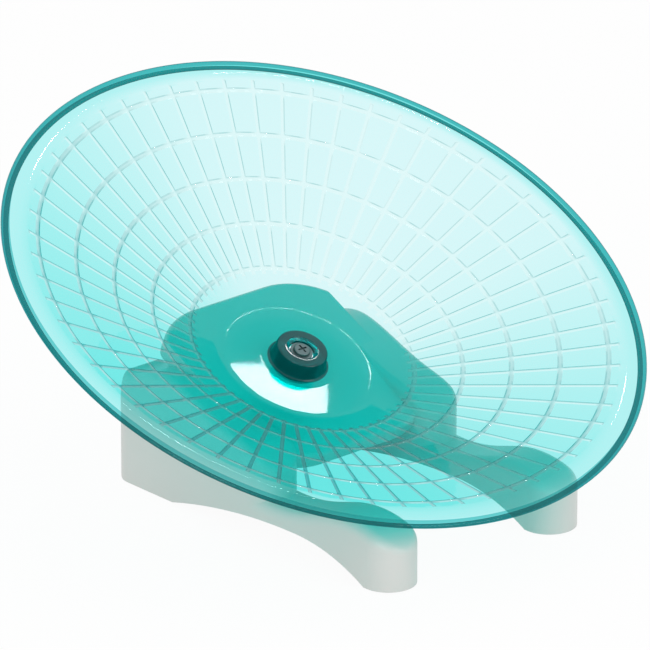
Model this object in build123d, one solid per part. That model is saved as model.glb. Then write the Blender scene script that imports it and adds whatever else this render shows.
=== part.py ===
from build123d import *
import os
from math import atan2, cos, degrees, radians, sin, sqrt

# A running saucer for a small pet: a shallow ribbed dish that spins on a small ball bearing,
# on a tilted axle carried by a one-piece two-legged stand. Millimetres, +Z up, front towards -Y.
# The origin is on the ground, under the centre of the whole object.

# Saucer
SAUCER_R = 100.0          # outer radius of the rim
FLANGE_R = 92.6           # where the sloping wall meets the flat rim flange
FLOOR_R = 24.0            # where the sloping wall meets the flat floor
DISH_DEPTH = 30.5         # rim plane down to the floor's upper face
SAUCER_WALL = 1.8
RIM_LIP = 3.6             # height of the turned-down edge of the rim
RIM_LIP_WALL = 1.6
RIM_ROUND = 0.7
TILT = 25.5               # axle lean towards the front, degrees
RIM_HEIGHT = 66.0         # centre of the rim plane above the ground

# Grip ridges on the running face
RING_FIRST_R = 35.0
RING_PITCH = 13.35
RING_COUNT = 5
RIDGE_FOOT = 1.1
RIDGE_TOP = 0.6
RIDGE_H = 0.5
RIB_COUNT = 60            # straight radial ridges
RIB_START_R = 33.2
RIB_END_R = 91.6
RIB_W = 0.8
RIB_H = 0.42
RIB_SINK = 0.3            # part of a ridge that is sunk in the wall

# Hub moulded in the middle of the saucer
HUB_TOP_R = 7.9
HUB_BASE_R = 9.5
HUB_NECK_R = 8.3
HUB_H = 5.1               # hub top above the floor
HUB_LIP = 1.6             # plastic left over the bearing
HUB_HOLE_R = 3.9
HUB_CHAMFER = 1.0
HUB_CHAMFER_DEPTH = 0.8

# Shielded miniature ball bearing in the hub
BEARING_R = 6.0
BEARING_BORE_R = 3.0
BEARING_W = 4.0
INNER_RACE_R = 3.8
OUTER_RACE_BORE_R = 5.2
BALL_R = 0.95
BALL_COUNT = 9
BALL_CLEARANCE = 0.12
CAGE_W = 2.8
CAGE_T = 0.6
POCKET_CLEARANCE = 0.07
SHIELD_T = 0.25
SHIELD_SEAT = 0.25        # how far the shield reaches into the outer race
SHIELD_GAP = 0.15         # shield to inner race

# Ring that keeps the bearing in the hub
CIRCLIP_T = 0.9
CIRCLIP_IN_R = 4.7
CIRCLIP_GROOVE = 0.5      # depth of the groove in the hub wall
CIRCLIP_PLAY = 0.05
CIRCLIP_GAP = 2.4         # opening of the split ring

# Axle and its fasteners
DECK_GAP = 1.2            # saucer underside to the deck
COLLAR_R = 3.6
FLANGE_PLATE_R = 7.0
FLANGE_PLATE_T = 0.7
AXLE_HOLE_CLEARANCE = 0.05
SCREW_R = 1.5
SCREW_LENGTH = 9.0
SCREW_HEAD_R = 2.6
SCREW_HEAD_H = 0.95
SCREW_CROSS = 0.6         # width of the cross recess
SCREW_CROSS_DEPTH = 0.5
TOP_WASHER_R = 3.5
TOP_WASHER_T = 0.5
NUT_FLATS = 10.0
NUT_H = 5.0
NUT_WASHER_R = 6.2
NUT_WASHER_T = 1.2
AXLE_TAIL = 1.0           # thread that shows below the nut

# Deck of the stand, parallel to the saucer
DECK_W = 76.0
DECK_L = 66.0
DECK_CORNER = 24.0
DECK_T = 6.0
DECK_EDGE_ROUND = 1.6
DECK_SKIN = 2.5
AXLE_BOSS_R = 9.0
AXLE_BOSS_H = 8.0
DECK_RIB = 1.8
DECK_RIB_COUNT = 6

# Legs of the stand
LEG_X = 32.1              # centre plane of a leg
LEG_W = 17.0
LEG_FRONT = -71.9
LEG_REAR = 51.9
LEG_WALL = 2.0

TOE_WALL_H = 11.3         # straight part of the toe's front
TOE_TOP_H = 19.2
TOE_TOP_Y = -54.0
TOE_REAR_H = 12.8
CHEEK_FRONT = -19.0
CHEEK_TOP_H = 39.0
ARCH_FRONT = -63.0
ARCH_REAR = 25.0
ARCH_TOP_Y = -32.0
ARCH_TOP_H = 7.9
TOE_ROUND = 3.6
CHEEK_ROUND = 2.6

# Rubber pads under the legs
PAD_R = 4.0
PAD_T = 1.6
PAD_PROUD = 0.5           # how far a pad stands out of the foot
PAD_CLEARANCE = 0.1
PAD_BOSS_WALL = 1.3
PAD_FRONT_Y = -66.0
PAD_REAR_Y = 43.4

WALL_SLOPE = atan2(DISH_DEPTH, FLANGE_R - FLOOR_R)
FLOOR_Z = -DISH_DEPTH
FLOOR_UNDER_Z = FLOOR_Z - SAUCER_WALL
HUB_TOP_Z = FLOOR_Z + HUB_H
BEARING_TOP_Z = HUB_TOP_Z - HUB_LIP
BEARING_LOW_Z = BEARING_TOP_Z - BEARING_W
BEARING_MID_Z = BEARING_TOP_Z - BEARING_W / 2
PITCH_R = (INNER_RACE_R + OUTER_RACE_BORE_R) / 2
DECK_Z = FLOOR_UNDER_Z - DECK_GAP
BOSS_LOW_Z = DECK_Z - AXLE_BOSS_H
RIM_Y = -RIM_LIP * sin(radians(TILT)) / 2
GROUND_GAP = PAD_PROUD

# The axle frame: its origin is the centre of the rim plane and its Z runs up the axle
AXLE_FRAME = Location((0, RIM_Y, RIM_HEIGHT), (TILT, 0, 0))

def spin(points):
    """Solid of revolution about the axle from (radius, height) corners."""
    outline = Polyline(*points, close=True)
    return revolve(Plane.XZ * make_face(outline), axis=Axis.Z)

def ring(outer_r, inner_r, low_z, high_z):
    """Plain tube about the axle."""
    tube = Cylinder(outer_r, high_z - low_z) - Cylinder(inner_r, high_z - low_z)
    return Pos(0, 0, (low_z + high_z) / 2) * tube

def rod(r, low_z, high_z):
    """Solid cylinder about the axle."""
    return Pos(0, 0, (low_z + high_z) / 2) * Cylinder(r, high_z - low_z)

def wall_point(r, height=0.0):
    """Point on the saucer's sloping face at radius r, lifted square to the face."""
    z = FLOOR_Z + (r - FLOOR_R) * sin(WALL_SLOPE) / cos(WALL_SLOPE)
    return (r - height * sin(WALL_SLOPE), z + height * cos(WALL_SLOPE))

def ridge_corners(r):
    """Four corners of one ring ridge across the sloping face."""
    foot = RIDGE_FOOT / 2 * cos(WALL_SLOPE)
    top = RIDGE_TOP / 2 * cos(WALL_SLOPE)
    return [
        wall_point(r - foot),
        wall_point(r - top, RIDGE_H),
        wall_point(r + top, RIDGE_H),
        wall_point(r + foot),
    ]

def saucer():
    """The dish with its hub, floor, ridged wall, flange and turned-down rim."""
    hub = [
        (HUB_HOLE_R, HUB_TOP_Z - HUB_CHAMFER_DEPTH),
        (HUB_HOLE_R + HUB_CHAMFER, HUB_TOP_Z),
        (HUB_TOP_R, HUB_TOP_Z),
        (HUB_NECK_R, FLOOR_Z + HUB_H / 2.5),
        (HUB_BASE_R, FLOOR_Z),
    ]
    wall = [(FLOOR_R, FLOOR_Z)]
    for i in range(RING_COUNT):
        wall += ridge_corners(RING_FIRST_R + i * RING_PITCH)
    rim = [
        (FLANGE_R, 0),
        (SAUCER_R - RIM_ROUND, 0),
        (SAUCER_R, -RIM_ROUND),
        (SAUCER_R, -RIM_LIP),
        (SAUCER_R - RIM_LIP_WALL, -RIM_LIP),
        (SAUCER_R - RIM_LIP_WALL, -SAUCER_WALL),
    ]
    drop = SAUCER_WALL * (1 - cos(WALL_SLOPE)) / sin(WALL_SLOPE)
    groove_r = BEARING_R + CIRCLIP_GROOVE
    under = [
        (FLANGE_R + drop, -SAUCER_WALL),
        (FLOOR_R + drop, FLOOR_UNDER_Z),
        (BEARING_R, FLOOR_UNDER_Z),
        (BEARING_R, BEARING_LOW_Z - CIRCLIP_T - CIRCLIP_PLAY),
        (groove_r, BEARING_LOW_Z - CIRCLIP_T - CIRCLIP_PLAY),
        (groove_r, BEARING_LOW_Z),
        (BEARING_R, BEARING_LOW_Z),
        (BEARING_R, BEARING_TOP_Z),
        (HUB_HOLE_R, BEARING_TOP_Z),
    ]
    return spin(hub + wall + rim + under) + grip_ribs()

def grip_ribs():
    """Straight radial ridges on the sloping face, sunk into it so that they join the dish."""
    length = (RIB_END_R - RIB_START_R) / cos(WALL_SLOPE)
    middle = wall_point((RIB_START_R + RIB_END_R) / 2, (RIB_H - RIB_SINK) / 2)
    bar = Box(length, RIB_W, RIB_H + RIB_SINK)
    bar = Location((middle[0], 0, middle[1]), (0, -degrees(WALL_SLOPE), 0)) * bar
    return [Rot(0, 0, 360 / RIB_COUNT * i) * bar for i in range(RIB_COUNT)]

def race_groove():
    """Ring-shaped track that the balls roll in."""
    return Pos(0, 0, BEARING_MID_Z) * Torus(PITCH_R, BALL_R + BALL_CLEARANCE)

def shield_seats():
    """Recesses for the two shields, one in each face of the outer race."""
    seat_r = OUTER_RACE_BORE_R + SHIELD_SEAT
    low = rod(seat_r, BEARING_LOW_Z, BEARING_LOW_Z + SHIELD_T)
    high = rod(seat_r, BEARING_TOP_Z - SHIELD_T, BEARING_TOP_Z)
    return low + high

def outer_race():
    body = ring(BEARING_R, OUTER_RACE_BORE_R, BEARING_LOW_Z, BEARING_TOP_Z)
    return body - race_groove() - shield_seats()

def inner_race():
    return ring(INNER_RACE_R, BEARING_BORE_R, BEARING_LOW_Z, BEARING_TOP_Z) - race_groove()

def shield(low_z):
    seat_r = OUTER_RACE_BORE_R + SHIELD_SEAT
    return ring(seat_r, INNER_RACE_R + SHIELD_GAP, low_z, low_z + SHIELD_T)

def ball_places():
    """Centres of the balls on their pitch circle."""
    return Pos(0, 0, BEARING_MID_Z) * PolarLocations(PITCH_R, BALL_COUNT)

def balls():
    """All the balls, as a group of separate solids."""
    return Compound([place * Sphere(BALL_R) for place in ball_places()])

def ball_cage():
    """Ring between the races with a round pocket for each ball."""
    low = BEARING_MID_Z - CAGE_W / 2
    body = ring(PITCH_R + CAGE_T / 2, PITCH_R - CAGE_T / 2, low, low + CAGE_W)
    pocket = Rot(0, 90, 0) * Cylinder(BALL_R + POCKET_CLEARANCE, 4 * CAGE_T)
    for place in ball_places():
        body -= place * pocket
    return body

def circlip():
    """Split ring that snaps into the groove under the bearing."""
    high = BEARING_LOW_Z
    body = ring(BEARING_R + CIRCLIP_GROOVE, CIRCLIP_IN_R, high - CIRCLIP_T, high)
    reach = BEARING_R + CIRCLIP_GROOVE
    gap = Pos(0, -reach, high - CIRCLIP_T / 2) * Box(CIRCLIP_GAP, 2 * reach, 2 * CIRCLIP_T)
    return body - gap

def axle():
    """Turned steel axle: bearing seat, collar and flange above the deck, plain tail below."""
    tail_z = BOSS_LOW_Z - NUT_WASHER_T - NUT_H - AXLE_TAIL
    plate_z = DECK_Z + FLANGE_PLATE_T
    body = rod(BEARING_BORE_R, tail_z, BEARING_TOP_Z)
    body += rod(COLLAR_R, DECK_Z, BEARING_LOW_Z)
    body += rod(FLANGE_PLATE_R, DECK_Z, plate_z)
    return body - rod(SCREW_R, BEARING_TOP_Z + TOP_WASHER_T - SCREW_LENGTH, BEARING_TOP_Z)

def axle_screw():
    """Low-headed screw with a cross recess that clamps the inner race on the axle."""
    seat = BEARING_TOP_Z + TOP_WASHER_T
    top = seat + SCREW_HEAD_H
    head = rod(SCREW_HEAD_R, seat, top)
    head = fillet(head.edges().group_by(Axis.Z)[-1], SCREW_HEAD_H / 2)
    slot = Box(SCREW_HEAD_R * 1.2, SCREW_CROSS, 2 * SCREW_CROSS_DEPTH)
    cross = Pos(0, 0, top) * (slot + Rot(0, 0, 90) * slot)
    return head + rod(SCREW_R, seat - SCREW_LENGTH, seat) - cross

def axle_nut():
    """Hexagon nut under the deck."""
    high = BOSS_LOW_Z - NUT_WASHER_T
    blank = extrude(RegularPolygon(NUT_FLATS / 2, 6, major_radius=False), NUT_H)
    return Pos(0, 0, high - NUT_H) * blank - rod(BEARING_BORE_R, high - NUT_H, high)

def leg_plan(inset, front):
    """Upright round-ended block from the front end named to the leg's rear, drawn in by draft."""
    length = LEG_REAR - front - 2 * inset
    middle = (LEG_REAR + front) / 2
    plan = Pos(LEG_X, middle, 0) * Rot(0, 0, 90) * SlotOverall(length, LEG_W - 2 * inset)
    return extrude(plan, CHEEK_TOP_H + LEG_W)

def across_leg(outline):
    """Side outline (y, z) run across the leg's width."""
    return Pos(LEG_X - LEG_W, 0, 0) * extrude(Plane.YZ * make_face(outline), 2 * LEG_W)

def toe_side(inset):
    """Side outline of the low front part: round nose, crown, then a dip to the cheek."""
    front = LEG_FRONT + inset
    crown = TOE_TOP_H - inset
    dip = TOE_REAR_H - inset
    nose = EllipticalCenterArc(
        (TOE_TOP_Y, TOE_WALL_H), TOE_TOP_Y - front, crown - TOE_WALL_H, 90, arc_size=90
    )
    mid_y = (TOE_TOP_Y + CHEEK_FRONT) / 2
    back = Spline(
        (TOE_TOP_Y, crown),
        (mid_y, (crown + dip) / 2 - 0.4),
        (CHEEK_FRONT, dip),
        tangents=[(1, 0), (1, 0)],
    )
    rest = Polyline((CHEEK_FRONT, dip), (0, dip), (0, 0), (front, 0), (front, TOE_WALL_H))
    return nose + back + rest

def cheek_side(inset):
    """Side outline of the raised rear part, whose top follows the deck and then rounds down."""
    front = CHEEK_FRONT + inset
    rear = LEG_REAR - inset
    top = CHEEK_TOP_H - inset
    start = (front - 2, top - 20)
    curve = Spline(
        start,
        (front + 5, top - 12.4),
        (0, top - 7.9),
        (20, top - 1.0),
        (33, top),
        (rear - 8.5, top - 3.5),
        (rear - 2.4, top - 13),
        tangents=[(1, 1.8), (0.25, -1)],
    )
    below = (rear + 1.6, top - 29)
    rest = Polyline((rear - 2.4, top - 13), below, (rear + 1.6, 0), (front - 2, 0), start)
    return curve + rest

def leg_solid(inset, toe_round=0.0, cheek_round=0.0):
    """Solid leg, or the hollow inside it when inset by the wall."""
    toe = across_leg(toe_side(inset)) & leg_plan(inset, LEG_FRONT)
    cheek = across_leg(cheek_side(inset)) & leg_plan(inset, CHEEK_FRONT)
    if toe_round:
        toe = fillet(top_edges(toe, LEG_FRONT - 1, CHEEK_FRONT), toe_round)
    if cheek_round:
        cheek = fillet(top_edges(cheek, CHEEK_FRONT - 1, LEG_REAR + 1), cheek_round)
    return toe + cheek

def top_edges(body, y_from, y_to):
    """Edges round the crown of a leg, away from its foot and its upright corners."""
    found = []
    for edge in body.edges():
        box = edge.bounding_box()
        flat = box.size.X < 0.01 and box.size.Y < 0.01
        across = box.size.Y < 0.01 and box.size.X > LEG_W / 3
        inside = box.min.Y > y_from and box.max.Y < y_to + 0.5
        if box.min.Z > TOE_WALL_H / 2 and not flat and not across and inside:
            found.append(edge)
    return found

def arch_cut():
    """Low arch that leaves each leg standing on a front and a rear foot."""
    front_r = ((ARCH_TOP_Y - ARCH_FRONT) ** 2 + ARCH_TOP_H**2) / (2 * ARCH_TOP_H)
    rear_r = ((ARCH_REAR - ARCH_TOP_Y) ** 2 + ARCH_TOP_H**2) / (2 * ARCH_TOP_H)
    front_mid = (ARCH_FRONT + ARCH_TOP_Y) / 2
    rear_mid = (ARCH_REAR + ARCH_TOP_Y) / 2

    def height(y, r):
        return ARCH_TOP_H - r + sqrt(r**2 - (y - ARCH_TOP_Y) ** 2)

    crown = (ARCH_TOP_Y, ARCH_TOP_H)
    front = ThreePointArc((ARCH_FRONT, 0), (front_mid, height(front_mid, front_r)), crown)
    rear = ThreePointArc(crown, (rear_mid, height(rear_mid, rear_r)), (ARCH_REAR, 0))
    base = Polyline((ARCH_REAR, 0), (ARCH_REAR, -5), (ARCH_FRONT, -5), (ARCH_FRONT, 0))
    return across_leg(front + rear + base)

def deck_block(inset, high_z, low_z):
    """Round-cornered slab square to the axle."""
    plan = RectangleRounded(DECK_W - 2 * inset, DECK_L - 2 * inset, DECK_CORNER - inset)
    return Pos(0, 0, low_z) * extrude(plan, high_z - low_z)

def deck():
    """Slab under the saucer, with its top and bottom edges rounded."""
    slab = deck_block(0, DECK_Z, DECK_Z - DECK_T)
    rims = slab.edges().group_by(Axis.Z)
    return fillet(rims[0] + rims[-1], DECK_EDGE_ROUND)

def deck_inside():
    """Hollow under the deck's skin, with the axle boss and its stiffening ribs left in it."""
    hollow = deck_block(LEG_WALL, DECK_Z - DECK_SKIN, DECK_Z - 2 * DECK_T)
    hollow -= rod(AXLE_BOSS_R, DECK_Z - 3 * DECK_T, DECK_Z)
    rib = Pos(DECK_W / 4, 0, DECK_Z - DECK_T) * Box(DECK_W / 2, DECK_RIB, 2 * DECK_T)
    for turn in range(DECK_RIB_COUNT):
        hollow -= Rot(0, 0, 360 / DECK_RIB_COUNT * (turn + 0.5)) * rib
    return hollow

def pad_places():
    """Ground points of the four pads: name and (x, y)."""
    spots = []
    for end, y in (("front", PAD_FRONT_Y), ("rear", PAD_REAR_Y)):
        for side, sign in (("left", -1), ("right", 1)):
            spots.append((f"foot_pad_{end}_{side}", sign * LEG_X, y))
    return spots

def right_leg():
    """One hollow leg with pad bosses, its arch and its foot trimmed."""
    solid = leg_solid(0, TOE_ROUND, CHEEK_ROUND)
    leg = solid - leg_solid(LEG_WALL)
    for y in (PAD_FRONT_Y, PAD_REAR_Y):
        boss_r = PAD_R + PAD_CLEARANCE + PAD_BOSS_WALL
        boss = Pos(LEG_X, y, CHEEK_TOP_H / 2) * Cylinder(boss_r, CHEEK_TOP_H)
        leg += boss & solid
    leg -= arch_cut()
    leg -= Pos(LEG_X, 0, GROUND_GAP / 2) * Box(2 * LEG_W, 3 * LEG_REAR, GROUND_GAP)
    for y in (PAD_FRONT_Y, PAD_REAR_Y):
        leg -= Pos(LEG_X, y, PAD_T / 2) * Cylinder(PAD_R + PAD_CLEARANCE, PAD_T)
    return leg

def stand():
    """One moulding: two hollow legs joined by the tilted deck that holds the axle."""
    leg = right_leg()
    inner_face = LEG_X - LEG_W / 2
    gap_between = Box(2 * inner_face, 4 * LEG_REAR, 8 * LEG_REAR)
    reach = Box(2 * LEG_X, 4 * LEG_REAR, 8 * LEG_REAR)
    slab = AXLE_FRAME * (deck() + rod(AXLE_BOSS_R, BOSS_LOW_Z, DECK_Z))
    slab = slab & reach
    slab -= (AXLE_FRAME * deck_inside()) & gap_between
    inside = leg_solid(LEG_WALL)
    slab -= inside
    slab -= mirror(inside, about=Plane.YZ)
    body = slab + leg + mirror(leg, about=Plane.YZ)
    hole_r = BEARING_BORE_R + AXLE_HOLE_CLEARANCE
    return body - AXLE_FRAME * rod(hole_r, BOSS_LOW_Z - DECK_T, DECK_Z + DECK_T)

def pieces():
    """Every separate piece of the object, by node name, in its place."""
    seat_z = BEARING_TOP_Z
    washer_z = BOSS_LOW_Z - NUT_WASHER_T
    on_axle = {
        "saucer": saucer(),
        "bearing_outer_race": outer_race(),
        "bearing_inner_race": inner_race(),
        "bearing_balls": balls(),
        "bearing_cage": ball_cage(),
        "bearing_shield_upper": shield(BEARING_TOP_Z - SHIELD_T),
        "bearing_shield_lower": shield(BEARING_LOW_Z),
        "bearing_retaining_ring": circlip(),
        "axle": axle(),
        "axle_screw": axle_screw(),
        "axle_screw_washer": ring(TOP_WASHER_R, SCREW_R, seat_z, seat_z + TOP_WASHER_T),
        "axle_nut": axle_nut(),
        "axle_nut_washer": ring(NUT_WASHER_R, BEARING_BORE_R, washer_z, BOSS_LOW_Z),
    }
    placed = {name: AXLE_FRAME * body for name, body in on_axle.items()}
    placed["stand"] = stand()
    for name, x, y in pad_places():
        placed[name] = Pos(x, y, PAD_T / 2) * Cylinder(PAD_R, PAD_T)
    return placed

def main():
    os.makedirs("parts", exist_ok=True)
    for name, body in pieces().items():
        export_step(body, f"parts/{name}.step")
        print(name, round(body.volume, 1))
    print("wall slope", round(degrees(WALL_SLOPE), 2), "degrees")

main()
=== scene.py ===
# %% [markdown]
# A running saucer for a small pet: a transparent turquoise dish that spins on a tilted axle above a
# pale grey stand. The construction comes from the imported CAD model, which is loaded here as a fixed
# frame. This lesson gives each piece its finish, models the dish as one fine mesh with all its grip
# ridges, and sets up a plain white studio with the camera at the photograph's angle.

# %% Load the frame
import math

import bpy
import numpy as np
from mathutils import Matrix, Vector


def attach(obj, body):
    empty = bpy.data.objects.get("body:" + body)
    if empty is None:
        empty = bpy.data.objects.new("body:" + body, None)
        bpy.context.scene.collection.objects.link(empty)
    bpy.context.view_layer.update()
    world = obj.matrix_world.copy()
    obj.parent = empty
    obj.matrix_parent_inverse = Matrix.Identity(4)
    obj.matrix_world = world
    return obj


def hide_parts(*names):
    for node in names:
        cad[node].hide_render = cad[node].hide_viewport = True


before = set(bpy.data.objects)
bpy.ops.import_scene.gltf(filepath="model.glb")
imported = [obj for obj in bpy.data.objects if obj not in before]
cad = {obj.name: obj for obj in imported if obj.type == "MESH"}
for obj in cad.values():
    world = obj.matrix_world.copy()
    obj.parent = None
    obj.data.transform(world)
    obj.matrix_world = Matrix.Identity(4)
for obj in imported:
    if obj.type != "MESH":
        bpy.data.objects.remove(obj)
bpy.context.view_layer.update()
MM = 0.001
print("CAD nodes", len(cad))

# %% [markdown]
# Colours are written as sRGB hex values, the way a paint or plastic chart gives them, and Blender
# works with linear light. One function does the change, and one more adds a shader node with its
# settings and links, so that every material below reads as a short list of nodes.

# %% Colour and node helpers
def linear(hex_colour):
    """Linear RGBA from an sRGB hex value."""
    parts = [int(hex_colour[i:i + 2], 16) / 255 for i in (1, 3, 5)]
    return [c / 12.92 if c <= 0.04045 else ((c + 0.055) / 1.055) ** 2.4 for c in parts] + [1.0]


def add(tree, kind, settings=None, links=None):
    """Add one node: settings fill properties or input sockets, links join input sockets."""
    made = tree.nodes.new(kind)
    for key, value in (settings or {}).items():
        if key in made.inputs:
            made.inputs[key].default_value = value
        else:
            setattr(made, key, value)
    for key, source in (links or {}).items():
        tree.links.new(source, made.inputs[key])
    return made


def new_material(name):
    """An empty node material and its tree, with the output node in place."""
    material = bpy.data.materials.new(name)
    material.use_nodes = True
    material.node_tree.nodes.clear()
    output = material.node_tree.nodes.new("ShaderNodeOutputMaterial")
    return material, material.node_tree, output


def in_scene(name, data):
    """A new object in the scene for a mesh, lamp or camera."""
    thing = bpy.data.objects.new(name, data)
    bpy.context.scene.collection.objects.link(thing)
    return thing


print("white is", linear("#ffffff"))

# %% [markdown]
# The camera is a long lens far away, so the picture is almost free of perspective. It looks down on
# the front left of the object. A tracking constraint could aim it, but the shift of the aim point
# would then be hard to read. So its place is worked out from the view angles and from an aim point
# a little below the centre of the rim.

# %% Camera
TILT = math.radians(25.5)
RIM_CENTRE_Y = -0.775 * MM
RIM_CENTRE_HEIGHT = 66.0 * MM
VIEW_AZIMUTH = math.radians(-41.79)
VIEW_ELEVATION = math.radians(21.75)
VIEW_DISTANCE = 2.4
LENS_MM = 448.3
SENSOR_MM = 36
VIEW_END = 20
AIM_RIGHT = -0.62 * MM
AIM_UP = -11.36 * MM

RIM_CENTRE = Vector((0, RIM_CENTRE_Y, RIM_CENTRE_HEIGHT))
back = Vector((
    math.sin(VIEW_AZIMUTH) * math.cos(VIEW_ELEVATION),
    -math.cos(VIEW_AZIMUTH) * math.cos(VIEW_ELEVATION),
    math.sin(VIEW_ELEVATION),
))
right = Vector((math.cos(VIEW_AZIMUTH), math.sin(VIEW_AZIMUTH), 0))
up = back.cross(right)
camera_data = bpy.data.cameras.new("camera")
camera_data.lens = LENS_MM
camera_data.sensor_width = SENSOR_MM
camera_data.clip_end = VIEW_END
camera = in_scene("camera", camera_data)
place = RIM_CENTRE + right * AIM_RIGHT + up * AIM_UP + back * VIEW_DISTANCE
turn = Matrix((right, up, back)).transposed().to_4x4()
camera.matrix_world = Matrix.Translation(place) @ turn
bpy.context.scene.camera = camera
print("camera at", [round(v, 3) for v in place])

# %% [markdown]
# The studio is white all round. What the camera, the reflections and the view through the plastic
# see is plain white, while the light that falls on the object comes from a weaker white sky. One
# white strength for all rays would be simpler, but the grey stand would then burn out. The Light
# Path node tells the two kinds of ray apart.

# %% White sky
def ray_mask(tree):
    """1 for camera, glossy and transmission rays, 0 for the rays that carry light."""
    path = add(tree, "ShaderNodeLightPath").outputs
    seen = add(
        tree, "ShaderNodeMath", {"operation": "MAXIMUM"},
        {0: path["Is Camera Ray"], 1: path["Is Glossy Ray"]},
    )
    seen = add(
        tree, "ShaderNodeMath", {"operation": "MAXIMUM"},
        {0: seen.outputs[0], 1: path["Is Transmission Ray"]},
    )
    return seen.outputs[0]


SKY_LIGHT = 0.8
world = bpy.data.worlds.new("white_studio")
bpy.context.scene.world = world
world.use_nodes = True
sky = world.node_tree
sky.nodes.clear()
strength = add(
    sky, "ShaderNodeMapRange", {"To Min": SKY_LIGHT, "To Max": 1.0}, {"Value": ray_mask(sky)}
)
glow = add(
    sky, "ShaderNodeBackground", {"Color": linear("#ffffff")}, {"Strength": strength.outputs[0]}
)
add(sky, "ShaderNodeOutputWorld", links={"Surface": glow.outputs[0]})
print("sky light", SKY_LIGHT)

# %% [markdown]
# The floor is a sheet of white studio paper. A plain matt floor would look grey beside the white
# sky, so for the rays that are seen it is almost all white light, with a small share of the matt
# paper left in, so that the object keeps a faint shadow and stands on something.

# %% Paper floor
FLOOR_SIZE = 6.0
SHADOW_SHARE = 0.05
half = FLOOR_SIZE / 2
floor_mesh = bpy.data.meshes.new("floor")
floor_mesh.from_pydata(
    [(-half, -half, 0), (half, -half, 0), (half, half, 0), (-half, half, 0)], [], [(0, 1, 2, 3)]
)
floor = in_scene("floor", floor_mesh)
paper, tree, output = new_material("studio_paper")
matt = add(tree, "ShaderNodeBsdfDiffuse", {"Color": linear("#f2f2f2")})
white = add(tree, "ShaderNodeEmission", {"Color": linear("#ffffff"), "Strength": 1.0})
amount = add(
    tree, "ShaderNodeMapRange", {"To Min": 0.0, "To Max": 1 - SHADOW_SHARE},
    {"Value": ray_mask(tree)},
)
mixed = add(
    tree, "ShaderNodeMixShader",
    links={0: amount.outputs[0], 1: matt.outputs[0], 2: white.outputs[0]},
)
tree.links.new(mixed.outputs[0], output.inputs["Surface"])
floor_mesh.materials.append(paper)
print("floor", FLOOR_SIZE, "m wide")

# %% [markdown]
# Clear plastic is lit by soft boxes, whose edges show as crisp shapes in the gloss. Moving a lamp by
# eye until its reflection lands in the right place takes long. The key box here is placed by a
# mirror rule instead: the flat floor of the dish works as a mirror, so one corner of the box is put
# where a sight line to that floor bounces to. That gives the bright patch beside the hub. The box is
# small, so two larger and weaker ones fill the shade on the stand.

# %% Soft boxes
AXLE = Vector((0, -math.sin(TILT), math.cos(TILT)))
DISH_DEPTH = 30.5 * MM
BOX_DISTANCE = 1.1
BOX_WIDE = 0.06
BOX_TALL = 0.022
BOX_POWER = 0.16
PATCH_RIGHT = 9.0 * MM        # corner of the bright patch, from the middle of the dish floor
PATCH_UP = -6.5 * MM
LEFT_SIZE = 0.9
LEFT_POWER = 7.0
FRONT_WIDE = 0.8
FRONT_TALL = 0.5
FRONT_POWER = 4.0


def soft_box(name, place, facing, wide, tall, power, x_axis):
    """A rectangular area lamp at a place, shining along facing."""
    lamp = bpy.data.lights.new(name, "AREA")
    lamp.shape = "RECTANGLE"
    lamp.size = wide
    lamp.size_y = tall
    lamp.energy = power
    z_axis = -facing.normalized()
    x_axis = (x_axis - z_axis * x_axis.dot(z_axis)).normalized()
    y_axis = z_axis.cross(x_axis)
    rotation = Matrix((x_axis, y_axis, z_axis)).transposed().to_4x4()
    in_scene(name, lamp).matrix_world = Matrix.Translation(place) @ rotation


def mirrored(vector):
    """A direction after it bounces off the flat floor of the dish."""
    return vector - AXLE * 2 * vector.dot(AXLE)


corner = RIM_CENTRE - AXLE * DISH_DEPTH
corner += mirrored(right) * PATCH_RIGHT + mirrored(up) * PATCH_UP
corner += mirrored(-back) * BOX_DISTANCE
middle = corner - mirrored(right) * BOX_WIDE / 2 - mirrored(up) * BOX_TALL / 2
soft_box("key_box", middle, -mirrored(-back), BOX_WIDE, BOX_TALL, BOX_POWER, mirrored(right))
left_place = Vector((-1.3, -0.9, 0.9))
left_facing = Vector((1.3, 0.9, -0.85))
soft_box("fill_left", left_place, left_facing, LEFT_SIZE, LEFT_SIZE, LEFT_POWER, right)
front_place = Vector((0.5, -1.6, 0.7))
front_facing = Vector((-0.5, 1.6, -0.6))
soft_box("fill_front", front_place, front_facing, FRONT_WIDE, FRONT_TALL, FRONT_POWER, right)
print("key box at", [round(v, 2) for v in middle])

# %% [markdown]
# The dish is injection moulded in one piece: hub, flat floor, sloping wall, flat rim flange and a
# turned-down edge. A screw modifier would make the plain dish from its section, but the radial
# ridges would then need booleans, and those leave bad shading on clear plastic. So the mesh is laid
# out as one closed grid. Its rows follow the section, which is written here from the hub's hole out
# to the rim and back along the underside. The wall's own rows come in the next cell.

# %% Section of the dish
SAUCER_R = 100.0 * MM
FLANGE_R = 92.6 * MM
FLOOR_R = 24.0 * MM
WALL = 1.8 * MM
FLANGE_STEP = 2.0 * MM
RIM_BAND = 2.5 * MM           # outer part of the flange that looks like the rim
RIM_LIP = 2.0 * MM            # height of the turned-down edge
LIP_WALL = 1.6 * MM
LIP_ROUND = 0.4 * MM
RIM_ROUND = 0.95 * MM
RIM_DRAFT = 1.0 * MM
HUB_TOP = -25.4 * MM
HUB_TOP_R = 7.9 * MM
HUB_TOP_ROUND = 0.5 * MM
HUB_NECK_R = 8.3 * MM
HUB_NECK_DROP = 3.0 * MM
HUB_BASE_R = 9.5 * MM
HUB_BASE_ROUND = 1.0 * MM
HUB_HOLE_R = 3.9 * MM
HUB_CHAMFER = 1.0 * MM
CHAMFER_DEPTH = 0.8 * MM
BEARING_R = 6.0 * MM
BEARING_TOP = -27.0 * MM
GROOVE_TOP = -31.0 * MM
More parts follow.
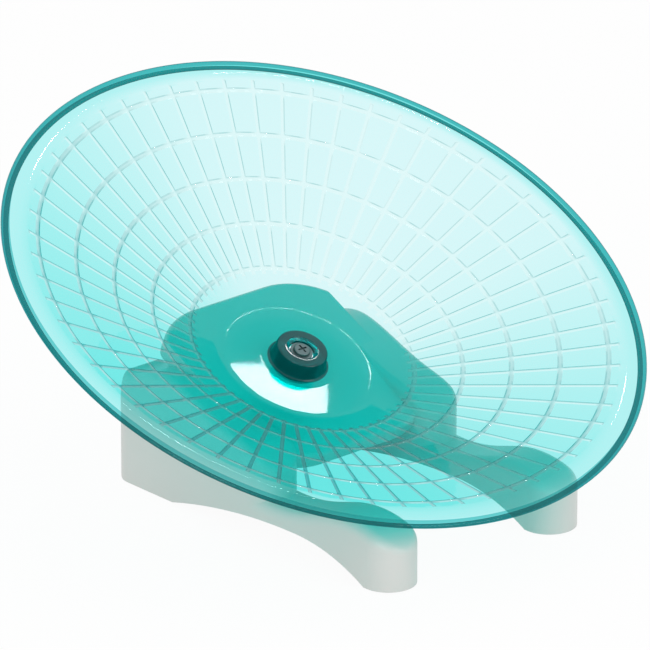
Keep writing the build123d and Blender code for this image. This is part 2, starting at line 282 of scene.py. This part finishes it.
GROOVE_LOW = -31.95 * MM
GROOVE_R = 6.5 * MM
SLOPE = math.atan2(DISH_DEPTH, FLANGE_R - FLOOR_R)
UNDER_SHIFT = WALL * (1 - math.cos(SLOPE)) / math.sin(SLOPE)


def arc(centre, radius, start, stop, steps):
    """Points of an arc in the section, angles in degrees."""
    turns = np.radians(np.linspace(start, stop, steps))
    return [(centre[0] + radius * math.cos(a), centre[1] + radius * math.sin(a)) for a in turns]


lip_z = -RIM_LIP + LIP_ROUND
lip_out = SAUCER_R - RIM_DRAFT
lip_in = SAUCER_R - LIP_WALL - RIM_DRAFT
hub_rows = [
    (HUB_HOLE_R, BEARING_TOP),
    (HUB_HOLE_R, HUB_TOP - CHAMFER_DEPTH),
    (HUB_HOLE_R + HUB_CHAMFER, HUB_TOP),
    *arc((HUB_TOP_R - HUB_TOP_ROUND, HUB_TOP - HUB_TOP_ROUND), HUB_TOP_ROUND, 90, 5, 4),
    (HUB_NECK_R, HUB_TOP - HUB_NECK_DROP),
    *arc((HUB_BASE_R, -DISH_DEPTH + HUB_BASE_ROUND), HUB_BASE_ROUND, 195, 270, 4),
]
floor_rows = [(r * MM, -DISH_DEPTH) for r in (12, 15, 18, 21, 22.5)]
rim_rows = [
    (FLANGE_R, 0),
    (FLANGE_R + FLANGE_STEP, 0),
    (SAUCER_R - RIM_BAND, 0),
    *arc((SAUCER_R - RIM_ROUND, -RIM_ROUND), RIM_ROUND, 90, 0, 5),
    *arc((lip_out - LIP_ROUND, lip_z), LIP_ROUND, 0, -90, 4),
    *arc((lip_in + LIP_ROUND, lip_z), LIP_ROUND, -90, -180, 4),
    (lip_in, -WALL),
]
under_rows = [
    (FLANGE_R + UNDER_SHIFT, -WALL),
    (FLOOR_R + UNDER_SHIFT, -DISH_DEPTH - WALL),
    (BEARING_R, -DISH_DEPTH - WALL),
    (BEARING_R, GROOVE_LOW),
    (GROOVE_R, GROOVE_LOW),
    (GROOVE_R, GROOVE_TOP),
    (BEARING_R, GROOVE_TOP),
    (BEARING_R, BEARING_TOP),
]
print("wall slope", round(math.degrees(SLOPE), 2), "degrees")

# %% [markdown]
# Five ring ridges and sixty straight radial ridges give the running face its grip. A bump texture
# could draw them, but they would vanish at the rim and in the exported model. So they are part of
# the grid: each ring has four rows of its own, for its two feet and the two edges of its top, and
# each radial ridge has four columns. Their sides lean, as a moulded ridge's do, so that the dish
# comes out of its tool.

# %% Heights of the ridges
RING_FIRST_R = 35.0 * MM
RING_PITCH = 13.35 * MM
RING_COUNT = 5
RING_FOOT = 1.5 * MM
RING_TOP = 0.5 * MM
RING_H = 0.26 * MM
RIB_COUNT = 60
RIB_FOOT = 1.3 * MM
RIB_TOP = 0.4 * MM
RIB_START = 33.2 * MM
RIB_END = 91.6 * MM
RIB_RAMP = 0.5 * MM           # length over which a radial ridge rises at its ends
RIB_H = 0.22 * MM
ROW_STEP = 2.4 * MM
WALL_MARGIN = 1.0 * MM
ring_radii = [RING_FIRST_R + i * RING_PITCH for i in range(RING_COUNT)]
wall_radii = set(np.arange(FLOOR_R, FLANGE_R - WALL_MARGIN, ROW_STEP).round(5))
wall_radii |= {RIB_START, RIB_START + RIB_RAMP, RIB_END - RIB_RAMP, RIB_END}
wall_radii = {r for r in wall_radii if all(abs(r - ring) > RING_FOOT for ring in ring_radii)}
for ring in ring_radii:
    wall_radii |= {ring - RING_FOOT / 2, ring - RING_TOP / 2}
    wall_radii |= {ring + RING_TOP / 2, ring + RING_FOOT / 2}
wall_radii = sorted(wall_radii)


def off_ring(r):
    """How far radius r is from the middle of the nearest ring ridge."""
    return min(abs(r - ring) for ring in ring_radii)


def ring_height(r):
    """Height of the ring ridges over the wall at radius r."""
    share = (RING_FOOT / 2 - off_ring(r)) / ((RING_FOOT - RING_TOP) / 2)
    return RING_H * min(1, max(0, share))


def rib_height(r, across):
    """Height of a radial ridge at radius r; across is 1 on its top and 0 at its foot."""
    ends = min(r - RIB_START, RIB_END - r) / RIB_RAMP
    return RIB_H * across * min(1, max(0, ends))


print("rows on the wall", len(wall_radii))

# %% [markdown]
# Now the grid itself. Its columns are six for each radial ridge: four on the ridge and two in the
# gap. Near the hub they keep the angles that they have where the ridges start, so that they don't
# cross. The last row joins the first, which closes the dish into one solid skin.

# %% Grid of the dish
COLUMNS_PER_RIB = 6
GAP_COLUMNS = (0.36, 0.64)    # places of the gap's columns, as shares of the pitch
SHARP_ANGLE = math.radians(24)


def column_angles(r):
    """Angles of the grid's columns at radius r, with 1 on the top edges of each ridge."""
    pitch = 2 * math.pi / RIB_COUNT
    radius = max(r, RIB_START)
    edges = ((-RIB_FOOT / 2, 0), (-RIB_TOP / 2, 1), (RIB_TOP / 2, 1), (RIB_FOOT / 2, 0))
    for k in range(RIB_COUNT):
        for shift, across in edges:
            yield k * pitch + shift / radius, across
        for share in GAP_COLUMNS:
            yield (k + share) * pitch, 0


def plain_row(r, z):
    """One row of points at one radius and height."""
    return [(r * math.cos(a), r * math.sin(a), z) for a, _ in column_angles(r)]


def wall_row(r):
    """One row of points on the wall, lifted square to it over the ridges."""
    base = -DISH_DEPTH + (r - FLOOR_R) * math.tan(SLOPE)
    row = []
    for a, across in column_angles(r):
        h = max(ring_height(r), rib_height(r, across))
        rr = r - h * math.sin(SLOPE)
        row.append((rr * math.cos(a), rr * math.sin(a), base + h * math.cos(SLOPE)))
    return row


rows = [plain_row(r, z) for r, z in hub_rows + floor_rows]
rows += [wall_row(r) for r in wall_radii]
rows += [plain_row(r, z) for r, z in rim_rows + under_rows]
columns = COLUMNS_PER_RIB * RIB_COUNT
faces = []
for i in range(len(rows)):
    low = i * columns
    high = (i + 1) % len(rows) * columns
    for j in range(columns):
        k = (j + 1) % columns
        faces.append((high + j, high + k, low + k, low + j))

axle_frame = Matrix.Translation(RIM_CENTRE) @ Matrix.Rotation(TILT, 4, "X")
dish_mesh = bpy.data.meshes.new("running_dish")
dish_mesh.from_pydata([tuple(axle_frame @ Vector(v)) for row in rows for v in row], [], faces)
dish_mesh.validate()
dish_mesh.polygons.foreach_set("use_smooth", [True] * len(faces))
dish_mesh.set_sharp_from_angle(angle=SHARP_ANGLE)
dish = in_scene("running_dish", dish_mesh)
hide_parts("saucer")
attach(dish, "saucer_body")
print("dish", len(rows), "rows of", columns, "points")

# %% [markdown]
# The dish is clear polystyrene with a turquoise dye, moulded in a polished tool. A full glass shader
# would refract, but in a wall under 2 mm thick that shift can't be seen, and light caught inside the
# sheet turns into black specks. So each face is a tinted clear film: what is behind shows through it,
# pale where the eye looks square at the wall and deeper where it looks along it, as the path through
# the dyed plastic gets longer. A little haze and the gloss of polished plastic lie over that, on the
# outer side of each face. For rays that only carry light the film is a plain colour filter, which
# gives the stand the turquoise light that it really has.

# %% Dyed clear polystyrene
POLYSTYRENE_IOR = 1.58
POLISHED = 0.02
HAZE_ROUGHNESS = 0.3
HAZE_SHINE = 0.1              # low, because the gloss is added apart
SHEEN_SHARE = 0.3             # part of the mirror gloss that a lightly scuffed face keeps
SQUARE_ON = 0.2               # facing values between which the tint deepens
ALONG = 0.72
FILTERED_LIGHT = "#20ece8"    # light that one face lets through to the stand


def clear_plastic(name, pale, deep, haze, haze_pale, haze_deep):
    """Tinted clear film under haze and gloss, from its tints seen square on and along the face."""
    material, tree, output = new_material(name)
    facing = add(tree, "ShaderNodeLayerWeight", {"Blend": 0.5}).outputs["Facing"]
    along = add(
        tree, "ShaderNodeMapRange",
        {"From Min": SQUARE_ON, "From Max": ALONG, "To Min": 0.0, "To Max": 1.0},
        {"Value": facing},
    ).outputs[0]
    outer = add(
        tree, "ShaderNodeMapRange", {"To Min": 1.0, "To Max": 0.0},
        {"Value": add(tree, "ShaderNodeNewGeometry").outputs["Backfacing"]},
    ).outputs[0]
    tint = add(tree, "ShaderNodeMix", {"data_type": "RGBA"}, {0: along})
    tint.inputs[6].default_value = linear(pale)
    tint.inputs[7].default_value = linear(deep)
    film = add(tree, "ShaderNodeBsdfTransparent", links={"Color": tint.outputs[2]})
    body = add(tree, "ShaderNodeBsdfPrincipled", {
        "Base Color": linear(haze), "Roughness": HAZE_ROUGHNESS, "IOR": POLYSTYRENE_IOR,
        "Specular IOR Level": HAZE_SHINE,
    })
    share = add(
        tree, "ShaderNodeMapRange", {"To Min": haze_pale, "To Max": haze_deep}, {"Value": along}
    )
    share = add(
        tree, "ShaderNodeMath", {"operation": "MULTIPLY"}, {0: share.outputs[0], 1: outer}
    )
    hazed = add(
        tree, "ShaderNodeMixShader",
        links={0: share.outputs[0], 1: film.outputs[0], 2: body.outputs[0]},
    )
    gloss = add(tree, "ShaderNodeBsdfGlossy", {"Color": linear("#ffffff"), "Roughness": POLISHED})
    fresnel = add(tree, "ShaderNodeFresnel", {"IOR": POLYSTYRENE_IOR})
    kept = add(tree, "ShaderNodeMath", {"operation": "MULTIPLY"}, {0: outer})
    kept.inputs[1].default_value = SHEEN_SHARE
    sheen = add(
        tree, "ShaderNodeMath", {"operation": "MULTIPLY"},
        {0: fresnel.outputs[0], 1: kept.outputs[0]},
    )
    polished = add(
        tree, "ShaderNodeMixShader",
        links={0: sheen.outputs[0], 1: hazed.outputs[0], 2: gloss.outputs[0]},
    )
    light_filter = add(tree, "ShaderNodeBsdfTransparent", {"Color": linear(FILTERED_LIGHT)})
    path = add(tree, "ShaderNodeLightPath").outputs
    unseen = add(
        tree, "ShaderNodeMath", {"operation": "MAXIMUM"},
        {0: path["Is Shadow Ray"], 1: path["Is Diffuse Ray"]},
    )
    unseen = add(
        tree, "ShaderNodeMath", {"operation": "MAXIMUM"},
        {0: unseen.outputs[0], 1: path["Is Glossy Ray"]},
    )
    final = add(
        tree, "ShaderNodeMixShader",
        links={0: unseen.outputs[0], 1: polished.outputs[0], 2: light_filter.outputs[0]},
    )
    tree.links.new(final.outputs[0], output.inputs["Surface"])
    return material


plastics = [
    clear_plastic("dyed_clear_polystyrene", "#f0fdfe", "#9cf6f4", "#00c8c4", 0.05, 0.14),
    clear_plastic("dyed_polystyrene_ridges", "#fcffff", "#2aa6ac", "#8fe0de", 0.12, 0.22),
    clear_plastic("dyed_polystyrene_rim", "#90eceb", "#20a8ae", "#069ca2", 0.16, 0.40),
    clear_plastic("dyed_polystyrene_hub", "#0a8c8e", "#066c70", "#015a5c", 0.60, 0.85),
]
print("plastics of the dish", [plastic.name for plastic in plastics])

# %% [markdown]
# It is one plastic, but the eye gets four depths of it: the thin wall, the ridges on it, the folded
# rim and the thick hub. Painting them by hand would be slow on this many faces. The grid knows its
# rows and columns, so each face gets its depth from its place in the grid. Two places carry painted
# light: the thin bevel round the hub's hole gets the lighter rim plastic as a painted highlight, and
# the lip's lower edge gets the hub's dark plastic, partly because a sight line runs a long way inside
# a rounded edge and partly as painted shade for the dark line along that edge.

# %% Depths of the dish
WALL_SLOT, RIDGE_SLOT, RIM_SLOT, HUB_SLOT = range(4)
CHAMFER_HIGHLIGHT_ROW = 1               # the thin bevel round the hub's hole gets the lighter rim plastic as a painted highlight
FLANGE_ROWS = 2               # rows of faces on the flat flange
LIP_SHADE_ROWS = 8                  # on the lip's rounded lower edge, which takes the hub's dark plastic, partly as painted shade
UNDER_ROWS = 2                # on the underside, before the bearing's seat
RIB_FACES = 3                 # faces across a radial ridge
ROUNDING = 1e-6
hub_end = len(hub_rows) - 1
wall_first = len(hub_rows) + len(floor_rows)
wall_last = wall_first + len(wall_radii) - 1
rim_last = wall_last + len(rim_rows)
on_ring = [off_ring(r) <= RING_FOOT / 2 + ROUNDING for r in wall_radii]


def depth(row, column):
    """Which of the four plastics a face of the grid has."""
    # painted highlight: the bevel round the hub's hole takes the lighter rim plastic
    if row == CHAMFER_HIGHLIGHT_ROW:
        return RIM_SLOT
    if row < hub_end or row > rim_last + UNDER_ROWS:
        return HUB_SLOT
    if wall_first <= row < wall_last:
        r = row - wall_first
        between_ends = wall_radii[r] >= RIB_START and wall_radii[r + 1] <= RIB_END
        on_rib = column % COLUMNS_PER_RIB < RIB_FACES and between_ends
        return RIDGE_SLOT if on_rib or (on_ring[r] and on_ring[r + 1]) else WALL_SLOT
    if wall_last + FLANGE_ROWS < row < rim_last:
        # partly painted shade: the lip's lower edge takes the hub's dark plastic
        return RIM_SLOT if row < rim_last - LIP_SHADE_ROWS else HUB_SLOT
    return WALL_SLOT


for plastic in plastics:
    dish_mesh.materials.append(plastic)
for number, polygon in enumerate(dish_mesh.polygons):
    polygon.material_index = depth(*divmod(number, columns))
slots = [polygon.material_index for polygon in dish_mesh.polygons]
print("faces by plastic", [slots.count(slot) for slot in range(4)])

# %% [markdown]
# The stand is moulded ABS, light grey, with the fine satin grain that a spark-eroded tool leaves.
# An image texture could carry such grain, but noise has no seams and needs no unwrapping. Real grain
# is under a tenth of a millimetre, too fine for this distance, so it is drawn coarser. It moves the
# roughness and a very small bump, and a much larger, weaker noise gives the slight unevenness of a
# thick moulding. The same recipe serves the moulded rubber pads and the nylon ball cage.

# %% Moulded plastics
CLOUD_MM = 30.0
ROUGHNESS_SPREAD = 0.05
BUMP_STRENGTH = 0.25


def moulded_plastic(name, colour, shade, roughness, ior, grain_mm, grain_height_mm):
    """Opaque moulded plastic: two close tones, and fine grain in roughness and bump."""
    material, tree, output = new_material(name)
    where = add(tree, "ShaderNodeTexCoord").outputs["Object"]
    cloud = add(
        tree, "ShaderNodeTexNoise", {"Scale": 1 / (CLOUD_MM * MM), "Detail": 2.0},
        {"Vector": where},
    )
    grain = add(
        tree, "ShaderNodeTexNoise", {"Scale": 1 / (grain_mm * MM), "Detail": 3.0},
        {"Vector": where},
    )
    tone = add(tree, "ShaderNodeMix", {"data_type": "RGBA"}, {0: cloud.outputs["Fac"]})
    tone.inputs[6].default_value = linear(colour)
    tone.inputs[7].default_value = linear(shade)
    rough = add(
        tree, "ShaderNodeMapRange",
        {"To Min": roughness - ROUGHNESS_SPREAD, "To Max": roughness + ROUGHNESS_SPREAD},
        {"Value": grain.outputs["Fac"]},
    )
    bump = add(
        tree, "ShaderNodeBump", {"Strength": BUMP_STRENGTH, "Distance": grain_height_mm * MM},
        {"Height": grain.outputs["Fac"]},
    )
    surface = add(
        tree, "ShaderNodeBsdfPrincipled", {"IOR": ior},
        {"Base Color": tone.outputs[2], "Roughness": rough.outputs[0], "Normal": bump.outputs[0]},
    )
    tree.links.new(surface.outputs[0], output.inputs["Surface"])
    return material


def dress(material, *nodes):
    """Give CAD nodes their finish."""
    for node in nodes:
        mesh = cad[node].data
        mesh.materials.clear()
        mesh.materials.append(material)


abs_grey = moulded_plastic("moulded_abs_light_grey", "#dcd7d4", "#d6d1ce", 0.38, 1.53, 0.35, 0.02)
# Rubber is dark and matt, and nylon is cream with a waxy gloss.
rubber = moulded_plastic("moulded_rubber", "#4a4b4c", "#434446", 0.7, 1.52, 0.5, 0.04)
nylon = moulded_plastic("moulded_nylon_cage", "#dcd6c6", "#d4cdbc", 0.45, 1.53, 0.3, 0.01)
dress(abs_grey, "stand")
dress(rubber, *(f"foot_pad_{end}_{side}" for end in ("front", "rear") for side in ("left", "right")))
dress(nylon, "bearing_cage")
print("moulded plastics", abs_grey.name, rubber.name, nylon.name)

# %% [markdown]
# The axle, races, balls and fasteners are steel with different surfaces: turned, ground, polished,
# pressed, phosphated and zinc plated. Their marks are lines of a few hundredths of a millimetre,
# and an anisotropic shader with tangents could follow them. At this size only the slight change in
# sharpness of the gloss is left of them, so a coarser noise in the roughness stands for the marks.
# The zinc is dark, because the screw is seen deep in the shade of the hub.

# %% Steels
SMOOTHEST = 0.8               # spread of the roughness, as shares of its mean
ROUGHEST = 1.25


def steel(name, colour, roughness, mark_mm):
    """Metal whose roughness varies a little from mark to mark."""
    material, tree, output = new_material(name)
    marks = add(
        tree, "ShaderNodeTexNoise", {"Scale": 1 / (mark_mm * MM), "Detail": 1.0},
        {"Vector": add(tree, "ShaderNodeTexCoord").outputs["Object"]},
    )
    rough = add(
        tree, "ShaderNodeMapRange",
        {"To Min": roughness * SMOOTHEST, "To Max": roughness * ROUGHEST},
        {"Value": marks.outputs["Fac"]},
    )
    surface = add(
        tree, "ShaderNodeBsdfPrincipled", {"Base Color": linear(colour), "Metallic": 1.0},
        {"Roughness": rough.outputs[0]},
    )
    tree.links.new(surface.outputs[0], output.inputs["Surface"])
    return material


# Ground races have an even, soft gloss, and polished balls are mirror bright.
ground = steel("ground_bearing_steel", "#b9bbbd", 0.22, 0.2)
polished = steel("polished_ball_steel", "#c8cacc", 0.08, 0.2)
# Sheet steel pressed into shields is duller, and a phosphate coat makes the spring dark and matt.
pressed = steel("pressed_shield_steel", "#a9abad", 0.3, 0.3)
phosphated = steel("phosphated_spring_steel", "#4d4f52", 0.45, 0.2)
# The turned axle shines softly. Zinc plate blurs what it mirrors, and its blue grey is painted darker
# and teal, as painted shade of the hub.
turned = steel("turned_axle_steel", "#b3b5b8", 0.28, 0.25)
shaded_zinc = steel("zinc_plated_steel_painted_shade", "#66787a", 0.42, 0.3)
dress(ground, "bearing_outer_race", "bearing_inner_race")
dress(polished, "bearing_balls")
dress(pressed, "bearing_shield_upper", "bearing_shield_lower")
dress(phosphated, "bearing_retaining_ring")
dress(turned, "axle")
dress(shaded_zinc, "axle_screw", "axle_screw_washer", "axle_nut", "axle_nut_washer")
print("materials in the scene", len(bpy.data.materials))

# %% [markdown]
# The view transform is Standard, so that white stays white, as in a product photograph. A sight line
# can cross many faces of the ridged dish, so the limit on clear faces is raised until none turns
# black.

# %% View settings
CLEAR_FACES = 32
bpy.context.scene.view_settings.view_transform = "Standard"
bpy.context.scene.cycles.transparent_max_bounces = CLEAR_FACES
